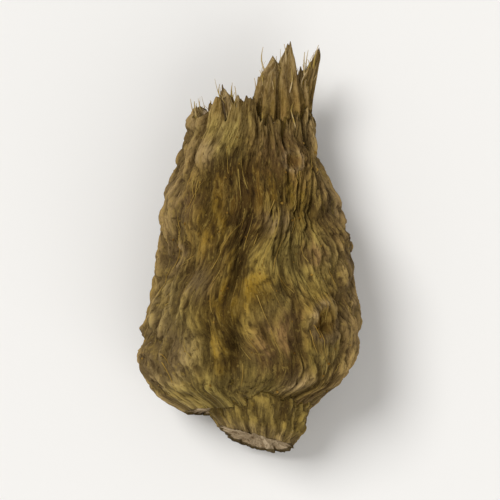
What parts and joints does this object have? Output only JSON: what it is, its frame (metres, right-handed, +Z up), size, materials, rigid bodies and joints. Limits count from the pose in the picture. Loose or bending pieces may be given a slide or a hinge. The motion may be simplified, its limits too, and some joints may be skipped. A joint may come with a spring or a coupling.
{
  "type": "dried valerian root piece",
  "caption": "Cut piece of dried rootstock with lengthwise ridges, a cut root stub at one end and torn splinters at the other, lying on a flattened underside.",
  "frame": {"origin": "middle of the box's floor, on the surface that the piece lies on", "axes": "+Z up; +Y along the piece, from the cut root stub towards the torn splinters; +X to the right as seen from above"},
  "size_m": [0.0064, 0.0118, 0.0044],
  "materials": {
    "bark": "dry, matt, wrinkled lengthwise bark, olive brown with darker creases and paler ridges",
    "torn_fibre": "pale straw fibres of the torn and cut faces, dry and matt"
  },
  "bodies": {
    "root": {"root_piece": "bark"}
  },
  "joints": []
}
